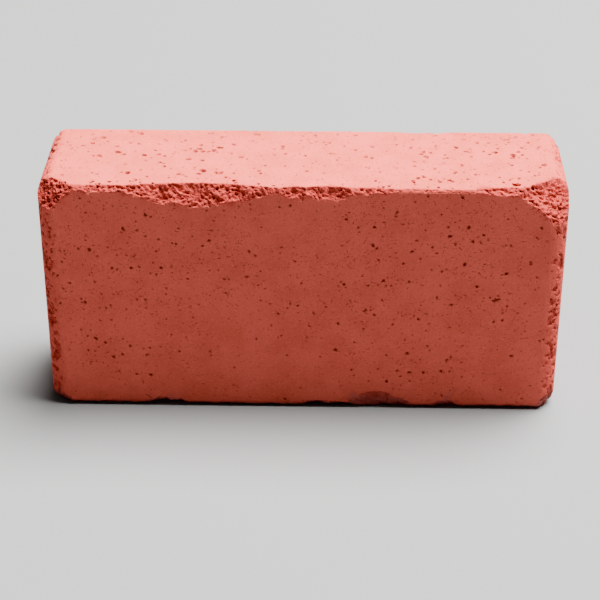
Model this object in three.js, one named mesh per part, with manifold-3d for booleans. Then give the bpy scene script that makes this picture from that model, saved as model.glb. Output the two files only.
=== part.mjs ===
// A clay bar: one solid pressed block of porous red clay, stood on a long narrow side.
// Its arrises are rubbed round and chipped, and six of its corners have broken off.
// Millimetres. +X runs along the bar, +Y from its front broad face to its back one, +Z up,
// and the origin is the middle of the face it stands on.
import * as THREE from "three";
import { mergeVertices } from "three/addons/utils/BufferGeometryUtils.js";
import Module from "manifold-3d";

const wasm = await Module();
wasm.setup();

// Driving dimensions.
const LENGTH = 100;
const THICKNESS = 26;
const HEIGHT = 48.5;
const PLAN_RADIUS = 3.6; // the four upright arrises, seen from above
const END_RADIUS = 3; // the ends' top and bottom arrises, seen from the front
const TOP_RADIUS = 0.7; // the top arrises along the bar, seen from an end
const FOOT_RADIUS = 1.4; // the bottom arrises along the bar, seen from an end
const ARC_STEPS = 6;
const OVERLONG = 1.5; // the front and end views' prisms are this many times as long as the bar
const WELD_DISTANCE = 1e-4;

// How a broken surface is made: an uneven lump of this depth is cut away. A chip's lump is a
// little wider than the chip, so that it breaks right through both of the faces it meets.
const LUMP_DEPTH = 4;
const LUMP_DETAIL = 3;
const LUMP_ROUGHNESS = 0.035;
const CORNER_OVERCUT = 2.2;
const CHIP_OVERCUT = 1.15;

// Where each kind of break starts counting its lumps' random seeds.
const CORNER_SEED = 0;
const ARRIS_SEED = 100;
const UPRIGHT_SEED = 200;

const FRONT = -1;
const BACK = 1;
const LEFT = -1;
const RIGHT = 1;
const TOP = 1;
const BOTTOM = -1;

// Broken corners. Each plane of break leaves the corner by these distances along X, Y and Z.
const BROKEN_CORNERS = [
  { end: LEFT, side: FRONT, edge: TOP, along: 7.6, across: 5.2, upright: 6.4, bulge: 0.5 },
  { end: RIGHT, side: FRONT, edge: TOP, along: 10.5, across: 7.2, upright: 8.8, bulge: 0.3 },
  { end: RIGHT, side: BACK, edge: TOP, along: 3.6, across: 2.6, upright: 3.4, bulge: 0.2 },
  { end: LEFT, side: FRONT, edge: BOTTOM, along: 5.4, across: 4.2, upright: 4.2, bulge: 0.1 },
  { end: RIGHT, side: FRONT, edge: BOTTOM, along: 4.2, across: 4.2, upright: 6.8, bulge: 0.1 },
  { end: LEFT, side: BACK, edge: BOTTOM, along: 4.6, across: 4.4, upright: 5, bulge: 0.1 },
];

// Chips on the long arrises: where the middle is along X, how wide the chip is, how far it goes
// up or down the broad face, how far across the narrow one, and how hollow it is.
const ARRIS_CHIPS = [
  { side: FRONT, edge: TOP, x: -36, width: 20, drop: 1.1, reach: 1.0, bulge: 0.1 },
  { side: FRONT, edge: TOP, x: -25.2, width: 9, drop: 2.1, reach: 1.7, bulge: 0.2 },
  { side: FRONT, edge: TOP, x: -19.8, width: 11, drop: 3.8, reach: 2.1, bulge: 0.25 },
  { side: FRONT, edge: TOP, x: -12.8, width: 8, drop: 2.3, reach: 1.3, bulge: 0.2 },
  { side: FRONT, edge: TOP, x: -7.2, width: 6, drop: 1.0, reach: 0.7, bulge: 0.1 },
  { side: FRONT, edge: TOP, x: -1.1, width: 3.8, drop: 2.2, reach: 1.0, bulge: 0.2 },
  { side: FRONT, edge: TOP, x: 4.2, width: 7.4, drop: 2.2, reach: 1.2, bulge: 0.25 },
  { side: FRONT, edge: TOP, x: 10.6, width: 8, drop: 1.0, reach: 0.7, bulge: 0.1 },
  { side: FRONT, edge: TOP, x: 38.4, width: 5, drop: 1.2, reach: 1.4, bulge: 0.1 },
  { side: FRONT, edge: BOTTOM, x: -27, width: 5, drop: 1.9, reach: 2.4, bulge: 0.3 },
  { side: FRONT, edge: BOTTOM, x: 2.8, width: 3.6, drop: 1.6, reach: 1.8, bulge: 0.2 },
  { side: FRONT, edge: BOTTOM, x: 7.8, width: 4, drop: 1.4, reach: 1.8, bulge: 0.2 },
  { side: FRONT, edge: BOTTOM, x: 14.4, width: 4.4, drop: 4.1, reach: 0.8, bulge: 0.1 },
  { side: FRONT, edge: BOTTOM, x: 17.4, width: 3.4, drop: 2.7, reach: 1.3, bulge: 0.15 },
  { side: FRONT, edge: BOTTOM, x: 28.2, width: 2.8, drop: 1.9, reach: 2.0, bulge: 0.3 },
  { side: BACK, edge: TOP, x: -9, width: 5, drop: 1.2, reach: 0.8, bulge: 0.1 },
  { side: BACK, edge: TOP, x: 24, width: 9, drop: 2.2, reach: 1.0, bulge: 0.2 },
  { side: BACK, edge: BOTTOM, x: -31, width: 8, drop: 2.1, reach: 2.3, bulge: 0.3 },
  { side: BACK, edge: BOTTOM, x: 6, width: 12, drop: 2.6, reach: 1.8, bulge: 0.3 },
];

// Chips on the upright arrises: how high the middle is, how tall the chip is, how far it goes
// along the broad face and across the end, and how hollow it is.
const UPRIGHT_CHIPS = [
  { end: LEFT, side: FRONT, z: 32.1, tall: 3, along: 2.0, across: 2.2, bulge: 0.1 },
  { end: LEFT, side: FRONT, z: 23.4, tall: 2.6, along: 1.8, across: 2.1, bulge: 0.1 },
  { end: LEFT, side: FRONT, z: 18.6, tall: 3.6, along: 2.2, across: 2.3, bulge: 0.1 },
  { end: RIGHT, side: FRONT, z: 34, tall: 7, along: 1.9, across: 2.1, bulge: 0.1 },
  { end: RIGHT, side: FRONT, z: 24.6, tall: 4, along: 1.9, across: 2.1, bulge: 0.1 },
  { end: RIGHT, side: FRONT, z: 12, tall: 7, along: 1.9, across: 2.2, bulge: 0.1 },
  { end: LEFT, side: BACK, z: 27, tall: 9, along: 2.6, across: 2.8, bulge: 0.2 },
  { end: RIGHT, side: BACK, z: 14, tall: 5, along: 2.1, across: 2.0, bulge: 0.1 },
];

// A repeatable stream of random numbers from 0 to 1.
function randomFrom(seed) {
  let state = seed;
  return () => {
    state = (state + 0x6d2b79f5) | 0;
    let t = Math.imul(state ^ (state >>> 15), 1 | state);
    t = (t + Math.imul(t ^ (t >>> 7), 61 | t)) ^ t;
    return ((t ^ (t >>> 14)) >>> 0) / 4294967296;
  };
}

// A three.js geometry with only its positions, sharing its corners.
function welded(geometry) {
  const bare = geometry.clone();
  bare.deleteAttribute("normal");
  bare.deleteAttribute("uv");
  return mergeVertices(bare, WELD_DISTANCE);
}

function solidOf(geometry) {
  const mesh = welded(geometry);
  return new wasm.Manifold(
    new wasm.Mesh({
      numProp: 3,
      vertProperties: new Float32Array(mesh.attributes.position.array),
      triVerts: new Uint32Array(mesh.index.array),
    }),
  );
}

function geometryOf(solid) {
  const mesh = solid.getMesh();
  const geometry = new THREE.BufferGeometry();
  geometry.setAttribute("position", new THREE.BufferAttribute(mesh.vertProperties, 3));
  geometry.setIndex(new THREE.BufferAttribute(mesh.triVerts, 1));
  geometry.computeVertexNormals();
  return geometry;
}

// A rectangle with round corners, centred on the origin. Its lower corners can be rounder.
function roundedRectangle(width, height, upper, lower = upper) {
  const x = width / 2;
  const y = height / 2;
  const quarter = Math.PI / 2;
  const outline = new THREE.Shape();
  outline.absarc(x - upper, y - upper, upper, 0, quarter);
  outline.absarc(upper - x, y - upper, upper, quarter, 2 * quarter);
  outline.absarc(lower - x, lower - y, lower, 2 * quarter, 3 * quarter);
  outline.absarc(x - lower, lower - y, lower, 3 * quarter, 4 * quarter);
  outline.closePath();
  return outline;
}

// A straight bar of one section, centred on the origin, its length along Z.
function prism(outline, length) {
  const geometry = new THREE.ExtrudeGeometry(outline, {
    depth: length,
    bevelEnabled: false,
    curveSegments: ARC_STEPS,
  });
  return geometry.translate(0, 0, -length / 2);
}

// The bar before it was chipped: what its plan, front view and end view have in common.
function wholeBar() {
  const plan = prism(roundedRectangle(LENGTH, THICKNESS, PLAN_RADIUS), HEIGHT);
  const front = prism(roundedRectangle(LENGTH, HEIGHT, END_RADIUS), THICKNESS * OVERLONG);
  const endView = roundedRectangle(THICKNESS, HEIGHT, TOP_RADIUS, FOOT_RADIUS);
  const end = prism(endView, LENGTH * OVERLONG);
  front.rotateX(Math.PI / 2);
  end.rotateX(Math.PI / 2).rotateZ(Math.PI / 2);
  const toBase = [0, 0, HEIGHT / 2];
  return [front, end].reduce(
    (bar, view) => bar.intersect(solidOf(view.translate(...toBase))),
    solidOf(plan.translate(...toBase)),
  );
}

// An uneven lump whose underside hollows out a break. The break's mouth is centred on middle
// and faces along out, it is as long as lengthwise is along the tangent and as wide as
// crosswise is across it, and it is bulge deeper than flat in the middle.
function lump({ middle, out, tangent, lengthwise, crosswise, bulge, seed }) {
  const random = randomFrom(seed);
  const geometry = welded(new THREE.IcosahedronGeometry(1, LUMP_DETAIL));
  const points = geometry.attributes.position;
  const point = new THREE.Vector3();
  for (let i = 0; i < points.count; i += 1) {
    point.fromBufferAttribute(points, i).multiplyScalar(1 + LUMP_ROUGHNESS * (random() - 0.5));
    points.setXYZ(i, point.x, point.y, point.z);
  }
  const lift = LUMP_DEPTH - bulge;
  const share = Math.sqrt(1 - (lift / LUMP_DEPTH) ** 2); // the mouth's size in the lump's own
  const normal = out.clone().normalize();
  const along = tangent.clone().addScaledVector(normal, -tangent.dot(normal)).normalize();
  const across = new THREE.Vector3().crossVectors(normal, along);
  const turn = new THREE.Matrix4().makeBasis(along, across, normal);
  geometry.scale(lengthwise / (2 * share), crosswise / (2 * share), LUMP_DEPTH);
  geometry.applyMatrix4(turn);
  const centre = middle.clone().addScaledVector(normal, lift);
  return solidOf(geometry.translate(centre.x, centre.y, centre.z));
}

function brokenCorner({ end, side, edge, along, across, upright, bulge }, seed) {
  const height = edge === TOP ? HEIGHT : 0;
  const corner = new THREE.Vector3((end * LENGTH) / 2, (side * THICKNESS) / 2, height);
  const third = new THREE.Vector3(-end * along, -side * across, -edge * upright).divideScalar(3);
  const size = Math.max(along, across, upright) * CORNER_OVERCUT;
  return lump({
    middle: corner.add(third),
    out: new THREE.Vector3(end / along, side / across, edge / upright),
    tangent: new THREE.Vector3(1, 0, 0),
    lengthwise: size,
    crosswise: size,
    bulge,
    seed,
  });
}

function arrisChip({ side, edge, x, width, drop, reach, bulge }, seed) {
  const arris = new THREE.Vector3(x, (side * THICKNESS) / 2, edge === TOP ? HEIGHT : 0);
  return lump({
    middle: arris.add(new THREE.Vector3(0, (-side * reach) / 2, (-edge * drop) / 2)),
    out: new THREE.Vector3(0, side * drop, edge * reach),
    tangent: new THREE.Vector3(1, 0, 0),
    lengthwise: width,
    crosswise: Math.hypot(drop, reach) * CHIP_OVERCUT,
    bulge,
    seed,
  });
}

function uprightChip({ end, side, z, tall, along, across, bulge }, seed) {
  const arris = new THREE.Vector3((end * LENGTH) / 2, (side * THICKNESS) / 2, z);
  return lump({
    middle: arris.add(new THREE.Vector3((-end * along) / 2, (-side * across) / 2, 0)),
    out: new THREE.Vector3(end * across, side * along, 0),
    tangent: new THREE.Vector3(0, 0, 1),
    lengthwise: tall,
    crosswise: Math.hypot(along, across) * CHIP_OVERCUT,
    bulge,
    seed,
  });
}

function clayBar() {
  const breaks = [
    ...BROKEN_CORNERS.map((corner, i) => brokenCorner(corner, CORNER_SEED + i)),
    ...ARRIS_CHIPS.map((chip, i) => arrisChip(chip, ARRIS_SEED + i)),
    ...UPRIGHT_CHIPS.map((chip, i) => uprightChip(chip, UPRIGHT_SEED + i)),
  ];
  return geometryOf(breaks.reduce((bar, piece) => bar.subtract(piece), wholeBar()));
}

const clay = new THREE.MeshStandardMaterial({ color: 0xb4503f, roughness: 0.9, metalness: 0 });
const bar = new THREE.Mesh(clayBar(), clay);
bar.name = "clay_bar";

const part = new THREE.Group();
part.add(bar);

export default part;
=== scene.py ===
"""A clay bar: one block of porous red clay, with broken corners, standing on a pale floor.

The block's CAD solid gives its size, its rounded arrises and where it is broken and chipped.
This script grows a fine surface on that solid: granular breaks, nibbled arrises and pores.
Surface sizes are in millimetres. They become metres when the mesh is made.
"""

import bpy
import numpy as np
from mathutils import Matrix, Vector
from mathutils.bvhtree import BVHTree
from mathutils.kdtree import KDTree


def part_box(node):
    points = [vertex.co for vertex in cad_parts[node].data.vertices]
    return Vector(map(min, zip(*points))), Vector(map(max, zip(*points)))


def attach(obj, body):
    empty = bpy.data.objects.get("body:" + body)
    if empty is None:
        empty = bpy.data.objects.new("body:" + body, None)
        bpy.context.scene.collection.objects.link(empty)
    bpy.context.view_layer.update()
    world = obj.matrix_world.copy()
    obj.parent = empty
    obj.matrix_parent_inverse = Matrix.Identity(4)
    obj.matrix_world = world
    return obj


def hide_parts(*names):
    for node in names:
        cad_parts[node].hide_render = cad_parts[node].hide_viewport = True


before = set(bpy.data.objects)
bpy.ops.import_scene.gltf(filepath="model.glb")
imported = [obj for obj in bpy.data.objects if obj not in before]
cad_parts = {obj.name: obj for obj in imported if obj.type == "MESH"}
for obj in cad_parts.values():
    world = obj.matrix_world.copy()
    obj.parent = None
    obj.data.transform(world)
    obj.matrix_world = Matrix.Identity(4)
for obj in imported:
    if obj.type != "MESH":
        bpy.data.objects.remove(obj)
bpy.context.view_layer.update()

MM = 0.001
MM2_IN_CM2 = 100
LOW, HIGH = (np.array(corner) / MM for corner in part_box("clay_bar"))
SIZE = HIGH - LOW
LENGTH, THICKNESS, HEIGHT = SIZE
CENTRE = (LOW + HIGH) / 2

# ---- The bar before it was broken, as the CAD has it. The CAD's round arrises are small facets,
# which lie inside the true curve by less than FACET_GAP.
PLAN_RADIUS = 3.6
END_RADIUS = 3.0
TOP_RADIUS = 0.7
FOOT_RADIUS = 1.4
FACET_GAP = 0.04

# ---- The mesh: a lattice over the bar, thinned where the bar is smooth. Its points sit on rays
# from an inner core. A face counts as flat when its normal lies this nearly along an axis. The
# gap is the one between the block's sides where they are laid out on a texture.
LATTICE_STEP = 0.18
CORE_INSET = 7.0
HALVINGS = 24
MOST_TRIANGLES = 190_000
FLATNESS = 0.9997
UNWRAP_GAP = 1.5

# ---- How breaks and chips fray past the CAD's. The CAD's outlines are blurred in rounds, and
# noise makes them ragged. Fresh clay begins and is complete at these shares of the blur, which
# counts as nothing below FRAY_TRACE.
FRAY_ROUNDS = 14
FRAY_TRACE = 0.01
RAG_SIZE = 1.1
RAGGEDNESS = 1.3
FRESH_RANGE = (0.12, 0.6)

# ---- The relief of the breaks, which are lumpy, ridged, grainy, sandy and holed. The ridges,
# grains and holes are drawn out along one direction, and bent by noise. The relief's zero lies
# BREAK_SINK below the CAD's break.
BREAK_SINK = 0.05
FLAKE_DIRECTION = np.array((0.78, 0.2, -0.59))
FLAKE_STRETCH = 2.0
BEND_SIZE = 0.9
BEND = 0.22
LUMP_SIZE = 2.6
LUMP_HEIGHT = 0.34
RIDGE_SIZE = 0.66
RIDGE_HEIGHT = 0.3
RIDGE_CREST = 0.6
RIDGE_FALL = 1.6
GRAIN_SIZE = 0.39
GRAIN_HEIGHT = 0.33
GRAIN_CREST = 0.5
GRAIN_FLOOR = 1.1
SAND_SIZE = 0.36
SAND_HEIGHT = 0.2
HOLE_SIZE = 1.3
HOLE_DEPTH = 0.16
HOLE_RANGE = (0.3, 0.7)

# ---- Rubbed arrises: the size and depth of their nibbles, the noise at which a nibble begins and
# is deepest, the depths at which it bares fresh clay, and the height of the grit between them.
# Those of the ends are rounder and more worn than the long ones. Wear is complete once a point
# is ARRIS_SHOULDER of the way into an arris.
ARRIS_SHOULDER = 0.75
END_NIBBLE_SIZE = 0.9
END_NIBBLE_DEPTH = 0.4
END_NIBBLE_RANGE = (0.1, 0.6)
LONG_NIBBLE_SIZE = 0.7
LONG_NIBBLE_DEPTH = 0.27
LONG_NIBBLE_RANGE = (-0.7, 0.35)
NIBBLE_ROUGHNESS = 0.5
NIBBLE_FRESH_RANGE = (0.04, 0.2)
GRIT_HEIGHT = 0.06

# ---- Painted crevice shade: how much deeper a point lies than the blurred surface around it.
CREVICE_ROUNDS = 10
CREVICE_RANGE = (0.02, 0.3)

# ---- The floor's dust. It clings to fresh clay and to deep places below DUST_TOP, and to the
# rounded foot, where it is thickest at the bottom.
DUST_TOP = 6.0
DUSTY_DEPTH_RANGE = (0.3, 1)
FOOT_DUST = 0.7
FOOT_DUST_HEIGHT = 0.3

# ---- Pores by chance: how many there are on a square centimetre, how that varies from place to
# place, their radii, and the smaller pores that some of them have close by.
PORE_SEED = 5
PORES_PER_CM2 = 48
KEPT_SHARE = 0.5
CROWDING = 0.45
CROWD_SIZE = 14
SMALLEST_PORE = 0.08
PORE_SPREAD = 0.05
LARGEST_PORE = 0.34
CLUSTER_SIZES = (0, 0, 1, 1, 3)
CLUSTER_SPREAD = 0.45
CLUSTER_GROWTH = (0.5, 0.9)

# ---- The shape of a pore: how far it may be drawn out, how ragged its rim is, how far past its
# radius the rim may reach, and how deep it is in radii. Its painted shade is darkest DARK_MIDDLE
# of the way in.
PORE_STRETCH = 1.7
PORE_RAG_SIZE = 0.32
PORE_RAG = 0.45
PORE_REACH = 1.3
DARK_MIDDLE = 0.7
SIDE_PORE_DEPTH = 0.9
TOP_PORE_DEPTH = 1.7

# ---- The top, which starts TOP_MARGIN below the bar's height, has fewer and larger pores, whose
# painted shade is full. Elsewhere small pores have paler painted shade than large ones, within the
# two limits.
TOP_MARGIN = 0.1
TOP_PORE_SHARE = 0.5
TOP_PORE_GROWTH = 1.5
DARKEST_RADIUS = 0.36
SIDE_PORE_DARKNESS = (0.55, 0.85)

# ---- The pores that stand out, by where they are across and up the front, and their radii.
FRONT_PORES = [
    (36.5, 24.9, 0.29), (37.0, 25.2, 0.34), (37.5, 25.3, 0.28), (36.8, 24.6, 0.2),
    (37.4, 24.8, 0.21), (35.9, 25.6, 0.24), (15.4, 29.1, 0.32), (14.4, 28.2, 0.23),
    (15.9, 28.0, 0.24), (20.7, 35.5, 0.32), (19.1, 32.9, 0.27), (22.4, 20.6, 0.31),
    (20.4, 12.8, 0.32), (28.2, 11.4, 0.29), (-35.4, 31.0, 0.26), (-38.5, 14.6, 0.29),
    (-39.8, 13.5, 0.22), (-4.7, 21.5, 0.27), (-10.2, 35.2, 0.27), (-1.4, 33.1, 0.27),
    (-30.2, 24.3, 0.24), (-37.0, 23.0, 0.24), (8.2, 42.2, 0.26), (-4.0, 36.1, 0.24),
    (-19.6, 5.2, 0.23), (-31.1, 39.5, 0.26), (18.6, 8.8, 0.27), (21.5, 21.4, 0.23),
    (44.0, 38.7, 0.24), (-18.1, 12.8, 0.23), (-13.4, 9.1, 0.23), (9.6, 8.9, 0.27),
]
# The same on the top, by where they are across it and back from its middle.
TOP_PORES = [
    (-33.2, -6.9, 0.52), (-34.4, -6.8, 0.29), (-30.8, 0.7, 0.42), (-39.4, 0.4, 0.42),
    (-16.5, -6.5, 0.35), (-9.4, 10.6, 0.5), (9.8, 10.6, 0.39), (-16.1, 4.4, 0.3),
    (-4.4, 4.4, 0.34), (-8.4, -5.6, 0.3), (0.2, 1.2, 0.29), (23.6, 1.0, 0.3),
    (31.2, 3.7, 0.34), (40.2, 1.9, 0.35), (39.5, -2.2, 0.3), (44.8, -3.0, 0.3),
    (31.1, 9.1, 0.3), (33.6, 7.6, 0.34), (35.7, 7.6, 0.3), (34.6, 3.8, 0.27),
    (35.6, 2.5, 0.3), (41.2, 3.7, 0.27), (42.0, 5.6, 0.3), (43.5, 8.0, 0.34),
    (45.5, 6.0, 0.3), (42.5, -4.9, 0.24), (43.5, -6.5, 0.27), (42.7, 0.8, 0.24),
]

# ---- Seeds of the noises. A noise of several sizes takes the next numbers too.
LUMP_SEED = 11
RIDGE_SEED = 16
GRAIN_SEED = 21
SAND_SEED = 31
HOLE_SEED = 36
END_NIBBLE_SEED = 41
LONG_NIBBLE_SEED = 45
GRIT_SEED = 51
RAG_SEED = 55
CROWD_SEED = 61
PORE_RAG_SEED = 62
BEND_SEED = 70

# ---- Clay colours, as linear red, green and blue, and how strongly each is laid on.
CLAY = (0.64, 0.094, 0.066)
CLAY_DEEP = (0.55, 0.074, 0.05)
CLAY_PALE = (0.72, 0.125, 0.09)
# Fresh break colour: redder than the clay, and darker partly as painted shade between the crumbs.
CLAY_FRESH_AND_SHADE = (0.54, 0.05, 0.036)
CLAY_RUBBED = (0.6, 0.068, 0.048)
CLAY_DUSTY = (0.42, 0.12, 0.1)
# The colour that all painted shade darkens toward: in pores, pinholes, pits and crevices.
CLAY_PAINTED_SHADE = (0.13, 0.012, 0.008)
SAND_SHARE = 0.6
RUBBED_SHARE = 0.8
FRESH_SHARE = 0.9
DUSTY_SHARE = 0.85

# ---- Painted shade that darkens the clay besides the pores: tiny pinholes, pits between the
# grains, and crevices. A pinhole's size is a share of the spacing.
PINHOLE_SPACING = 1.0
PINHOLE_SIZES = (0.02, 0.24)
PINHOLE_CROWD_SIZE = 5
PINHOLE_SHADE_DARKNESS = 0.85
PIT_DARKNESS = 0.3
CREVICE_DARKNESS = 0.12

# ---- The material's clouds, sand and grit, and how the clay takes the light.
CLOUD_SIZE = 7
FINE_SAND_SIZE = 0.45
FINE_GRAIN_SIZE = 0.35
OLD_GRIT = 0.14
FRESH_GRIT = 0.5
PINHOLE_SINK = 0.15
CLAY_ROUGHNESS = (0.82, 0.95)
CLAY_SHEEN = 0.25

# ---- The camera: its place, in lengths of the bar from the middle of the face it stands on, the
# direction it looks in, its lens in millimetres and the nearest it sees, in metres.
CAMERA_PLACE = Vector((0.05823, -3.04142, 1.94757))
CAMERA_AIM = Vector((-0.018686, 0.863281, -0.504377))
CAMERA_LENS = 105.4
CAMERA_NEAREST = 0.01

# ---- The studio, in metres and watts.
FLOOR_REACH = 3.0
FLOOR_COLOUR = (0.23, 0.23, 0.225)
FLOOR_ROUGHNESS = 0.9
FLOOR_SHEEN = 0.2
SOFTBOX_PLACE = (0.34, 0.23, 1.15)
SOFTBOX_WIDTH = 0.84
SOFTBOX_POWER = 180
SKY_COLOUR = (0.95, 0.97, 1.0)
SKY_STRENGTH = 0.22


# ======================================================================= noise
# Large odd numbers that scatter the hashes of neighbouring cells.
SCATTER_X = np.uint64(0x9E3779B97F4A7C15)
SCATTER_Y = np.uint64(0xBF58476D1CE4E5B9)
SCATTER_Z = np.uint64(0x94D049BB133111EB)
SEED_STEP = 7919
HASH_BITS = 24

CUBE = np.stack(np.meshgrid([0, 1], [0, 1], [0, 1], indexing="ij"), -1).reshape(-1, 3)
NEIGHBOURS = np.stack(np.meshgrid(*[[-1, 0, 1]] * 3, indexing="ij"), -1).reshape(-1, 3)


def hashed(cells, seed):
    """A repeatable number from 0 to 1 for each whole-number cell."""
    n = cells.astype(np.int64).astype(np.uint64)
    h = n[..., 0] * SCATTER_X
    h = (h ^ (h >> np.uint64(29))) + n[..., 1] * SCATTER_Y
    h = (h ^ (h >> np.uint64(31))) + n[..., 2] * SCATTER_Z
    h = (h ^ (h >> np.uint64(30))) + np.uint64(seed * SEED_STEP + 1)
    h = (h ^ (h >> np.uint64(27))) * SCATTER_X
    return (h >> np.uint64(64 - HASH_BITS)).astype(np.float64) / float(1 << HASH_BITS)


def waves(points, size, seed):
    """Smooth noise from -1 to 1, with features of the given size."""
    cell = np.floor(points / size)
    part = points / size - cell
    part = part * part * (3 - 2 * part)
    total = np.zeros(len(points))
    for corner in CUBE:
        weight = np.prod(np.where(corner, part, 1 - part), axis=1)
        total += weight * hashed(cell + corner, seed)
    return 2 * total - 1


def rough(points, size, seed, octaves=2):
    """Noise of several sizes, each half as large and half as strong as the one before."""
    total = np.zeros(len(points))
    for octave in range(octaves):
        total += waves(points, size / 2**octave, seed + octave) / 2**octave
    return total


def grains(points, size, seed):
    """How far each point is from the nearest of the scattered grains, in grain sizes."""
    cell = np.floor(points / size)
    nearest = np.full(len(points), np.inf)
    for step in NEIGHBOURS:
        home = cell + step
        place = home + np.stack([hashed(home, seed + axis) for axis in range(3)], -1)
        nearest = np.minimum(nearest, np.linalg.norm(points / size - place, axis=1))
    return nearest


def smoothstep(low, high, value):
    """0 at the low end and beyond it, 1 at the high end and beyond it, and smooth between."""
    t = np.clip((value - low) / (high - low), 0, 1)
    return t * t * (3 - 2 * t)


# ======================================================================= shape
def lattice(counts):
    """A box's surface as whole-number points, and the quads between them, facing out."""
    stride = np.array([(counts[1] + 1) * (counts[2] + 1), counts[2] + 1, 1])
    quads = []
    for axis in range(3):
        u = (axis + 1) % 3
        v = (axis + 2) % 3
        i, j = np.meshgrid(np.arange(counts[u] + 1), np.arange(counts[v] + 1), indexing="ij")
        for level in (0, counts[axis]):
            key = level * stride[axis] + i * stride[u] + j * stride[v]
            quad = np.stack([key[:-1, :-1], key[1:, :-1], key[1:, 1:], key[:-1, 1:]], -1)
            quads.append(quad.reshape(-1, 4)[:, :: 1 if level else -1])
    keys, index = np.unique(np.concatenate(quads), return_inverse=True)
    places = [keys // stride[0], keys // stride[1] % (counts[1] + 1), keys % stride[1]]
    return np.stack(places, -1), index.reshape(-1, 4)


def past_section(u, v, half_u, half_v, upper, lower):
    """How far points lie outside a rounded rectangle, and less than 0 inside it."""
    radius = np.where(v > 0, upper, lower)
    du = np.abs(u) - half_u + radius
    dv = np.abs(v) - half_v + radius
    outside = np.hypot(np.maximum(du, 0), np.maximum(dv, 0))
    return outside + np.minimum(np.maximum(du, dv), 0) - radius


def past_whole_bar(points):
    """How far points lie outside the bar as it was before it broke."""
    x, y, z = (points - CENTRE).T
    half_x, half_y, half_z = SIZE / 2
    plan = past_section(x, y, half_x, half_y, PLAN_RADIUS, PLAN_RADIUS)
    front = past_section(x, z, half_x, half_z, END_RADIUS, END_RADIUS)
    end = past_section(y, z, half_y, half_z, TOP_RADIUS, FOOT_RADIUS)
    return np.maximum(np.maximum(plan, front), end)


def reach_whole_bar(core, aim, furthest):
    """How far it is from the core to the whole bar's surface, by halving."""
    near = np.zeros(len(core))
    far = furthest.copy()
    for _ in range(HALVINGS):
        middle = (near + far) / 2
        inside = past_whole_bar(core + aim * middle[:, None]) < 0
        near = np.where(inside, middle, near)
        far = np.where(inside, far, middle)
    return near


def reach_cad(core, aim):
    """How far it is from the core to the CAD solid's surface."""
    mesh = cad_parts["clay_bar"].data
    corners = [vertex.co / MM for vertex in mesh.vertices]
    tree = BVHTree.FromPolygons(corners, [tuple(face.vertices) for face in mesh.polygons])
    return np.array([tree.ray_cast(Vector(c), Vector(a))[3] for c, a in zip(core, aim)])


class Lattice:
    """The bar's surface as points that each sit on a ray from an inner core."""

    def __init__(self):
        counts = np.ceil(SIZE / LATTICE_STEP).astype(int)
        steps, self.quads = lattice(counts)
        boxed = LOW + steps * SIZE / counts
        self.core = np.clip(boxed, LOW + CORE_INSET, HIGH - CORE_INSET)
        outward = boxed - self.core
        furthest = np.linalg.norm(outward, axis=1)
        self.aim = outward / furthest[:, None]
        self.whole = reach_whole_bar(self.core, self.aim, furthest)
        self.broken = np.maximum(self.whole - reach_cad(self.core, self.aim) - FACET_GAP, 0)
        self.start = self.at(self.whole)
        self.cut = self.at(self.whole - self.broken)
        edges = np.stack([self.quads, np.roll(self.quads, -1, 1)], -1).reshape(-1, 2)
        self.edges = edges[edges[:, 0] < edges[:, 1]]
        self.degree = np.bincount(self.edges.ravel(), minlength=len(self.core))

    def at(self, reach):
        """The points that are this far from the core along their rays."""
        return self.core + self.aim * reach[:, None]

    def smoothed(self, values, rounds):
        """Values averaged with their neighbours' a number of times."""
        a, b = self.edges.T
        for _ in range(rounds):
            total = np.bincount(a, values[b], len(values)) + np.bincount(b, values[a], len(values))
            values = (values + total / self.degree) / 2
        return values


def broken_relief(points):
    """How far a broken surface stands out of, or sinks into, the plane of the break."""
    along = points @ FLAKE_DIRECTION
    drawn = points - np.outer(along * (1 - 1 / FLAKE_STRETCH), FLAKE_DIRECTION)
    bend = np.stack([waves(points, BEND_SIZE, BEND_SEED + axis) for axis in range(3)], -1)
    bent = drawn + BEND * bend
    lumps = LUMP_HEIGHT * rough(points, LUMP_SIZE, LUMP_SEED)
    crests = np.abs(rough(bent, RIDGE_SIZE, RIDGE_SEED))
    ridges = RIDGE_HEIGHT * (RIDGE_CREST - crests * RIDGE_FALL)
    grain = GRAIN_HEIGHT * (GRAIN_CREST - np.minimum(grains(bent, GRAIN_SIZE, GRAIN_SEED), GRAIN_FLOOR))
    sand = SAND_HEIGHT * waves(points, SAND_SIZE, SAND_SEED)
    holes = HOLE_DEPTH * smoothstep(*HOLE_RANGE, waves(bent, HOLE_SIZE, HOLE_SEED))
    return lumps + ridges + grain + sand - holes


def into_arris(points, axis_a, axis_b, radii):
    """How far into a rounded arris each point is: 0 on the flat faces, 1 along the middle."""
    past = np.abs(points - CENTRE) - SIZE / 2
    share = np.minimum(past[:, axis_a], past[:, axis_b]) / radii + 1
    return smoothstep(0, ARRIS_SHOULDER, share)


def fresh_breaks(bar):
    """How fresh each point is: 1 inside the breaks, and 0 past their ragged rims."""
    blurred = bar.smoothed((bar.broken > 0).astype(float), FRAY_ROUNDS)
    near = blurred > FRAY_TRACE
    share = blurred[near]
    rim = share * (1 - share) * rough(bar.cut[near], RAG_SIZE, RAG_SEED)
    fresh = np.zeros(len(blurred))
    fresh[near] = smoothstep(*FRESH_RANGE, share + RAGGEDNESS * rim)
    return fresh


def broken_depth(bar, fresh):
    """How deep the breaks lie below the whole bar, with their relief."""
    depth = bar.broken.copy()
    near = fresh > 0
    depth[near] += fresh[near] * (BREAK_SINK - broken_relief(bar.cut[near]))
    return np.maximum(depth, 0)


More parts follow.
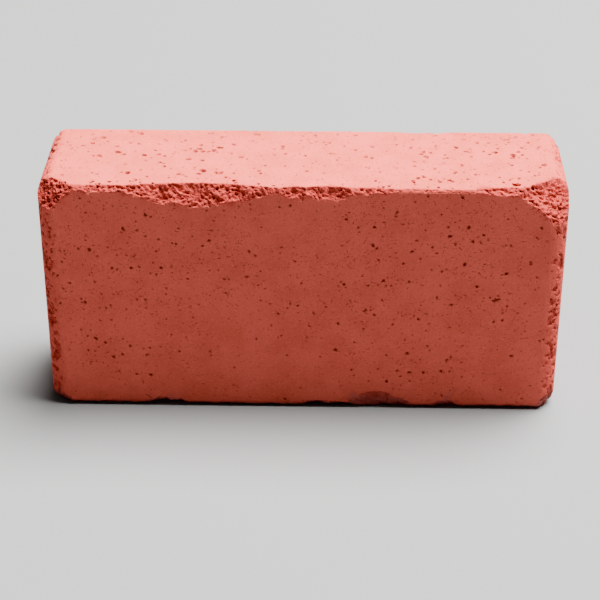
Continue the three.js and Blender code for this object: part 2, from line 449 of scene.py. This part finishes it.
def wear(bar):
    """How deep each point lies below the whole bar, how fresh its surface is, and how rubbed."""
    fresh = fresh_breaks(bar)
    depth = broken_depth(bar, fresh)

    rubbed = into_arris(bar.start, 0, 1, PLAN_RADIUS)
    rubbed = np.maximum(rubbed, into_arris(bar.start, 0, 2, END_RADIUS))
    long_radii = np.where(bar.start[:, 2] > CENTRE[2], TOP_RADIUS, FOOT_RADIUS)
    along = into_arris(bar.start, 1, 2, long_radii)
    near = np.maximum(rubbed, along) > 0
    edge = bar.start[near]

    large = rough(edge, END_NIBBLE_SIZE, END_NIBBLE_SEED, octaves=3)
    large = END_NIBBLE_DEPTH * rubbed[near] * smoothstep(*END_NIBBLE_RANGE, large)
    small = rough(edge, LONG_NIBBLE_SIZE, LONG_NIBBLE_SEED, octaves=3)
    small = LONG_NIBBLE_DEPTH * along[near] * smoothstep(*LONG_NIBBLE_RANGE, small)
    worn = np.maximum(large, small) * (1 - NIBBLE_ROUGHNESS * broken_relief(edge))
    grit = GRIT_HEIGHT * np.maximum(rubbed, along)[near] * (1 + rough(edge, SAND_SIZE, GRIT_SEED))
    depth[near] = np.maximum(depth[near], worn + grit)
    fresh[near] = np.maximum(fresh[near], smoothstep(*NIBBLE_FRESH_RANGE, worn))
    # The long arrises count as fresh, so they take the fresh colour and its painted shade.
    return depth, np.maximum(fresh, along), rubbed


def on_top(places):
    """Whether places on the bar's surface are on its flat top."""
    return places[..., 2] > HIGH[2] - TOP_MARGIN


def known_pores():
    """The pores that stand out, as places on the surface and radii."""
    front = [(np.array((x, LOW[1], z)), radius) for x, z, radius in FRONT_PORES]
    top = [(np.array((x, y, HIGH[2])), radius) for x, y, radius in TOP_PORES]
    return front + top


def chance_pores(bar, random):
    """Pores scattered by chance, as places on the surface and radii."""
    area = 2 * (LENGTH * THICKNESS + LENGTH * HEIGHT + THICKNESS * HEIGHT) / MM2_IN_CM2
    tried = int(area * PORES_PER_CM2 / KEPT_SHARE)
    places = bar.start[random.integers(len(bar.start), size=tried)]
    share = np.where(on_top(places), TOP_PORE_SHARE, 1)
    crowd = KEPT_SHARE + CROWDING * waves(places, CROWD_SIZE, CROWD_SEED)
    kept = random.random(len(places)) < share * crowd
    pores = []
    for place in places[kept]:
        radius = min(SMALLEST_PORE + random.exponential(PORE_SPREAD), LARGEST_PORE)
        radius *= TOP_PORE_GROWTH if on_top(place) else 1
        pores.append((place, radius))
        for _ in range(random.choice(CLUSTER_SIZES)):
            beside = place + random.normal(0, CLUSTER_SPREAD, 3)
            pores.append((beside, radius * random.uniform(*CLUSTER_GROWTH)))
    return pores


def bored(bar, depth):
    """Adds the pores to the depths, and gives each point's painted shade in the pores, from 0 to 1."""
    random = np.random.default_rng(PORE_SEED)
    tree = KDTree(len(bar.start))
    for index, point in enumerate(bar.start):
        tree.insert(point, index)
    tree.balance()
    pore_shade = np.zeros(len(depth))
    sink = np.zeros(len(depth))
    for place, radius in known_pores() + chance_pores(bar, random):
        turn = random.normal(size=3)
        turn /= np.linalg.norm(turn)
        stretch = random.uniform(1, PORE_STRETCH)
        hits = tree.find_range(place, radius * stretch * PORE_REACH)
        index = np.array([hit[1] for hit in hits], int)
        away = bar.start[index] - place
        drawn = (away @ turn) ** 2 * (1 - stretch**-2)
        distance = np.sqrt(np.maximum((away**2).sum(1) - drawn, 0))
        distance *= 1 + PORE_RAG * waves(bar.start[index], PORE_RAG_SIZE, PORE_RAG_SEED)
        inside = np.maximum(1 - (distance / radius) ** 2, 0)
        deepest = radius * (TOP_PORE_DEPTH if on_top(place) else SIDE_PORE_DEPTH)
        darkest = 1 if on_top(place) else np.clip(radius / DARKEST_RADIUS, *SIDE_PORE_DARKNESS)
        sink[index] = np.maximum(sink[index], deepest * np.sqrt(inside))
        pore_shade[index] = np.maximum(pore_shade[index], darkest * smoothstep(0, DARK_MIDDLE, inside))
    return depth + sink, pore_shade


def dust(points, depth, fresh):
    """How dusty each point is: dust clings to worn places near the floor, and to the foot."""
    height = points[:, 2]
    clings = np.maximum(fresh, smoothstep(*DUSTY_DEPTH_RANGE, depth))
    foot = FOOT_DUST * smoothstep(FOOT_RADIUS, FOOT_DUST_HEIGHT, height)
    return np.maximum(smoothstep(DUST_TOP, 0, height) * clings, foot)


# ======================================================================== mesh
def unwrapped(points, side):
    """Places on the texture's square: each of the block's six sides has its own rectangle."""
    x, y, z = (points - LOW).T
    tall = HEIGHT + UNWRAP_GAP
    deep = THICKNESS + UNWRAP_GAP
    column = LENGTH + UNWRAP_GAP
    spots = {
        (1, 0): (x, z),
        (1, 1): (x, z + tall),
        (2, 0): (x, y + 2 * tall),
        (2, 1): (x, y + 2 * tall + deep),
        (0, 0): (z + column, y),
        (0, 1): (z + column, y + deep),
    }
    width = 2 * tall + 2 * deep
    uv = np.zeros((len(points), 2))
    for (axis, far), (u, v) in spots.items():
        chosen = (side[:, 0] == axis) & (side[:, 1] == far)
        uv[chosen] = np.stack([u[chosen], v[chosen]], -1) / width
    return uv + UNWRAP_GAP / 2 / width


def add_unwrap(mesh):
    """Gives the mesh the texture places that the finished model's pictures are laid out on."""
    count = len(mesh.polygons)
    centres = np.zeros(count * 3)
    mesh.polygons.foreach_get("center", centres)
    centres = centres.reshape(-1, 3) / MM
    totals = np.zeros(count, int)
    mesh.polygons.foreach_get("loop_total", totals)
    offset = centres - np.clip(centres, LOW + CORE_INSET, HIGH - CORE_INSET)
    axis = np.abs(offset).argmax(1)
    far = (np.take_along_axis(offset, axis[:, None], 1)[:, 0] > 0).astype(int)
    side = np.repeat(np.stack([axis, far], -1), totals, axis=0)
    corner = np.zeros(len(mesh.loops), int)
    mesh.loops.foreach_get("vertex_index", corner)
    places = np.zeros(len(mesh.vertices) * 3)
    mesh.vertices.foreach_get("co", places)
    points = places.reshape(-1, 3)[corner] / MM
    layer = mesh.uv_layers.new(name="OFBake")
    layer.data.foreach_set("uv", unwrapped(points, side).ravel())


def crease_flats(mesh):
    """Keeps the flat faces' shading level right up to the pores and breaks in them."""
    normals = np.zeros(3 * len(mesh.polygons))
    mesh.polygons.foreach_get("normal", normals)
    flat = np.abs(normals.reshape(-1, 3)).max(1) > FLATNESS
    totals = np.zeros(len(mesh.polygons), int)
    mesh.polygons.foreach_get("loop_total", totals)
    edge = np.zeros(len(mesh.loops), int)
    mesh.loops.foreach_get("edge_index", edge)
    flat_beside = np.bincount(edge, np.repeat(flat, totals))
    crease = (flat_beside > 0) & (flat_beside < np.bincount(edge))
    layer = mesh.attributes.new("sharp_edge", "BOOLEAN", "EDGE")
    layer.data.foreach_set("value", crease)


def surface_mesh(points, quads, values):
    """A smooth-shaded mesh, with named values at its points for the material to use."""
    mesh = bpy.data.meshes.new("clay_surface")
    mesh.vertices.add(len(points))
    mesh.vertices.foreach_set("co", (points * MM).ravel())
    mesh.loops.add(quads.size)
    mesh.loops.foreach_set("vertex_index", quads.ravel())
    mesh.polygons.add(len(quads))
    mesh.polygons.foreach_set("loop_start", np.arange(0, quads.size, 4))
    mesh.polygons.foreach_set("use_smooth", np.ones(len(quads), bool))
    for name, numbers in values.items():
        layer = mesh.attributes.new(name, "FLOAT", "POINT")
        layer.data.foreach_set("value", numbers.astype(np.float32))
    mesh.update()
    mesh.validate()
    return mesh


def thinned(piece):
    """The piece's mesh of quads, brought down to the most triangles allowed."""
    thin = piece.modifiers.new("thin", "DECIMATE")
    thin.ratio = MOST_TRIANGLES / (2 * len(piece.data.polygons))
    graph = bpy.context.evaluated_depsgraph_get()
    mesh = bpy.data.meshes.new_from_object(piece.evaluated_get(graph))
    piece.modifiers.clear()
    return mesh


def make_bar():
    bar = Lattice()
    depth, fresh, rubbed = wear(bar)
    depth, pore_shade = bored(bar, depth)
    points = bar.at(bar.whole - depth)
    values = {
        "fresh": fresh,
        "rubbed": rubbed,
        "dusty": dust(points, depth, fresh),
        # painted shade in the pores
        "pore_shade": pore_shade,
        # painted shade in crevices, like ambient occlusion
        "crevice_shade": smoothstep(*CREVICE_RANGE, depth - bar.smoothed(depth, CREVICE_ROUNDS)),
    }
    piece = bpy.data.objects.new("clay_surface", surface_mesh(points, bar.quads, values))
    bpy.context.scene.collection.objects.link(piece)
    piece.data = thinned(piece)
    crease_flats(piece.data)
    add_unwrap(piece.data)
    return piece


# ==================================================================== material
class Nodes:
    """A material's node tree, built by short calls that each give back an output socket."""

    def __init__(self, name):
        self.material = bpy.data.materials.new(name)
        self.material.use_nodes = True
        self.tree = self.material.node_tree
        self.shader = self.tree.nodes["Principled BSDF"]
        self.place = self.node("ShaderNodeTexCoord").outputs["Object"]

    def node(self, kind, **settings):
        made = self.tree.nodes.new(kind)
        for name, value in settings.items():
            setattr(made, name, value)
        return made

    def feed(self, socket, value):
        """Links a socket to another, or sets it to a plain value."""
        if isinstance(value, bpy.types.NodeSocket):
            self.tree.links.new(value, socket)
        else:
            socket.default_value = value

    def attribute(self, name):
        return self.node("ShaderNodeAttribute", attribute_name=name).outputs["Fac"]

    def noise(self, size, detail, roughness):
        """Noise from 0 to 1 with features of the given size in millimetres."""
        made = self.node("ShaderNodeTexNoise")
        self.feed(made.inputs["Vector"], self.place)
        made.inputs["Scale"].default_value = 1 / (size * MM)
        made.inputs["Detail"].default_value = detail
        made.inputs["Roughness"].default_value = roughness
        return made.outputs["Fac"]

    def spots(self, spacing):
        """How far each point is from the nearest scattered spot, in spacings."""
        made = self.node("ShaderNodeTexVoronoi")
        self.feed(made.inputs["Vector"], self.place)
        made.inputs["Scale"].default_value = 1 / (spacing * MM)
        return made.outputs["Distance"]

    def maths(self, kind, a, b):
        made = self.node("ShaderNodeMath", operation=kind)
        self.feed(made.inputs[0], a)
        self.feed(made.inputs[1], b)
        return made.outputs[0]

    def spread(self, value, source, target=(0.0, 1.0)):
        """A value mapped smoothly from the source range to the target range."""
        made = self.node("ShaderNodeMapRange", interpolation_type="SMOOTHSTEP")
        for socket, number in zip(made.inputs, (value, *source, *target)):
            self.feed(socket, number)
        return made.outputs[0]

    def mixed(self, share, a, b):
        """The first colour at share 0, the second at share 1."""
        made = self.node("ShaderNodeMix", data_type="RGBA")
        self.feed(made.inputs[0], share)
        for socket, value in zip((made.inputs[6], made.inputs[7]), (a, b)):
            self.feed(socket, value if isinstance(value, bpy.types.NodeSocket) else (*value, 1))
        return made.outputs[2]

    def bumped(self, height):
        """Gives the shader a surface normal from a height in millimetres."""
        made = self.node("ShaderNodeBump")
        made.inputs["Distance"].default_value = MM
        self.feed(made.inputs["Height"], height)
        self.feed(self.shader.inputs["Normal"], made.outputs["Normal"])


def clay():
    """Dry porous clay: sandy red, redder where rubbed, with painted shade in its pores, pits and
    crevices.
    """
    n = Nodes("clay")
    fresh = n.attribute("fresh")
    rubbed = n.attribute("rubbed")

    clouds = n.noise(CLOUD_SIZE, detail=6, roughness=0.65)
    sand = n.noise(FINE_SAND_SIZE, detail=4, roughness=0.75)
    colour = n.mixed(n.spread(clouds, (0.3, 0.65)), CLAY_DEEP, CLAY)
    colour = n.mixed(n.spread(sand, (0.48, 0.7), (0, SAND_SHARE)), colour, CLAY_PALE)
    colour = n.mixed(n.spread(sand, (0.52, 0.3), (0, SAND_SHARE)), colour, CLAY_DEEP)
    colour = n.mixed(n.maths("MULTIPLY", rubbed, RUBBED_SHARE), colour, CLAY_RUBBED)
    # Breaks and long arrises take the fresh colour, which is darker partly as painted shade.
    colour = n.mixed(n.maths("MULTIPLY", fresh, FRESH_SHARE), colour, CLAY_FRESH_AND_SHADE)
    colour = n.mixed(n.maths("MULTIPLY", n.attribute("dusty"), DUSTY_SHARE), colour, CLAY_DUSTY)

    # Pinholes: tiny pores, dented by the bump and darkened with painted shade.
    crowd = n.noise(PINHOLE_CROWD_SIZE, detail=3, roughness=0.6)
    size = n.spread(crowd, (0.3, 0.7), PINHOLE_SIZES)
    pinhole_shade = n.spread(n.spots(PINHOLE_SPACING), (size, 0.0))
    pinhole_shade = n.maths("MULTIPLY", pinhole_shade, PINHOLE_SHADE_DARKNESS)
    grain = n.noise(FINE_GRAIN_SIZE, detail=4, roughness=0.7)
    # Painted shade in the pits between the grains of fresh and rubbed clay.
    exposed = n.maths("MAXIMUM", fresh, n.maths("MULTIPLY", rubbed, RUBBED_SHARE))
    pit_shade = n.maths("MULTIPLY", n.spread(grain, (0.45, 0.34), (0, PIT_DARKNESS)), exposed)
    # Painted shade in the crevices.
    crevice_shade = n.maths("MULTIPLY", n.attribute("crevice_shade"), CREVICE_DARKNESS)
    # All the painted shade, which darkens the colour toward the painted-shade colour.
    painted_shade = n.maths("MAXIMUM", n.attribute("pore_shade"), pinhole_shade)
    painted_shade = n.maths("MAXIMUM", painted_shade, crevice_shade)
    painted_shade = n.maths("MAXIMUM", painted_shade, pit_shade)
    n.feed(n.shader.inputs["Base Color"], n.mixed(painted_shade, colour, CLAY_PAINTED_SHADE))

    n.feed(n.shader.inputs["Roughness"], n.spread(sand, (0.3, 0.7), CLAY_ROUGHNESS))
    n.shader.inputs["Specular IOR Level"].default_value = CLAY_SHEEN

    grit = n.maths("MULTIPLY", grain, n.spread(fresh, (0, 1), (OLD_GRIT, FRESH_GRIT)))
    n.bumped(n.maths("SUBTRACT", grit, n.maths("MULTIPLY", pinhole_shade, PINHOLE_SINK)))
    return n.material


def pale_floor():
    """Plain matt grey."""
    n = Nodes("floor")
    n.shader.inputs["Base Color"].default_value = (*FLOOR_COLOUR, 1)
    n.shader.inputs["Roughness"].default_value = FLOOR_ROUGHNESS
    n.shader.inputs["Specular IOR Level"].default_value = FLOOR_SHEEN
    return n.material


# ================================================================== the studio
def look_along(thing, direction):
    """Turns a camera or a light to face along a direction."""
    thing.rotation_mode = "QUATERNION"
    thing.rotation_quaternion = direction.to_track_quat("-Z", "Y")


def make_camera():
    camera = bpy.data.objects.new("camera", bpy.data.cameras.new("camera"))
    bpy.context.scene.collection.objects.link(camera)
    foot = Vector((CENTRE[0], CENTRE[1], LOW[2])) * MM
    camera.location = foot + CAMERA_PLACE * LENGTH * MM
    look_along(camera, CAMERA_AIM)
    camera.data.lens = CAMERA_LENS
    camera.data.clip_start = CAMERA_NEAREST
    bpy.context.scene.camera = camera


def make_floor():
    mesh = bpy.data.meshes.new("floor")
    near = -FLOOR_REACH
    far = FLOOR_REACH
    corners = [(near, near, 0), (far, near, 0), (far, far, 0), (near, far, 0)]
    mesh.from_pydata(corners, [], [(0, 1, 2, 3)])
    floor = bpy.data.objects.new("floor", mesh)
    bpy.context.scene.collection.objects.link(floor)
    mesh.materials.append(pale_floor())


def make_softbox():
    """A round soft light, up behind the bar and to its right, aimed at the bar."""
    lamp = bpy.data.lights.new("softbox", "AREA")
    lamp.shape = "DISK"
    lamp.size = SOFTBOX_WIDTH
    lamp.energy = SOFTBOX_POWER
    softbox = bpy.data.objects.new("softbox", lamp)
    bpy.context.scene.collection.objects.link(softbox)
    softbox.location = SOFTBOX_PLACE
    look_along(softbox, -Vector(SOFTBOX_PLACE))


def make_sky():
    world = bpy.data.worlds.new("world")
    bpy.context.scene.world = world
    world.use_nodes = True
    background = world.node_tree.nodes["Background"]
    background.inputs["Color"].default_value = (*SKY_COLOUR, 1)
    background.inputs["Strength"].default_value = SKY_STRENGTH


def make_studio():
    make_floor()
    make_softbox()
    make_sky()
    view = bpy.context.scene.view_settings
    view.view_transform = "AgX"
    view.look = "AgX - Punchy"


make_camera()
clay_piece = make_bar()
clay_piece.data.materials.append(clay())
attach(clay_piece, "root")
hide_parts("clay_bar")
make_studio()
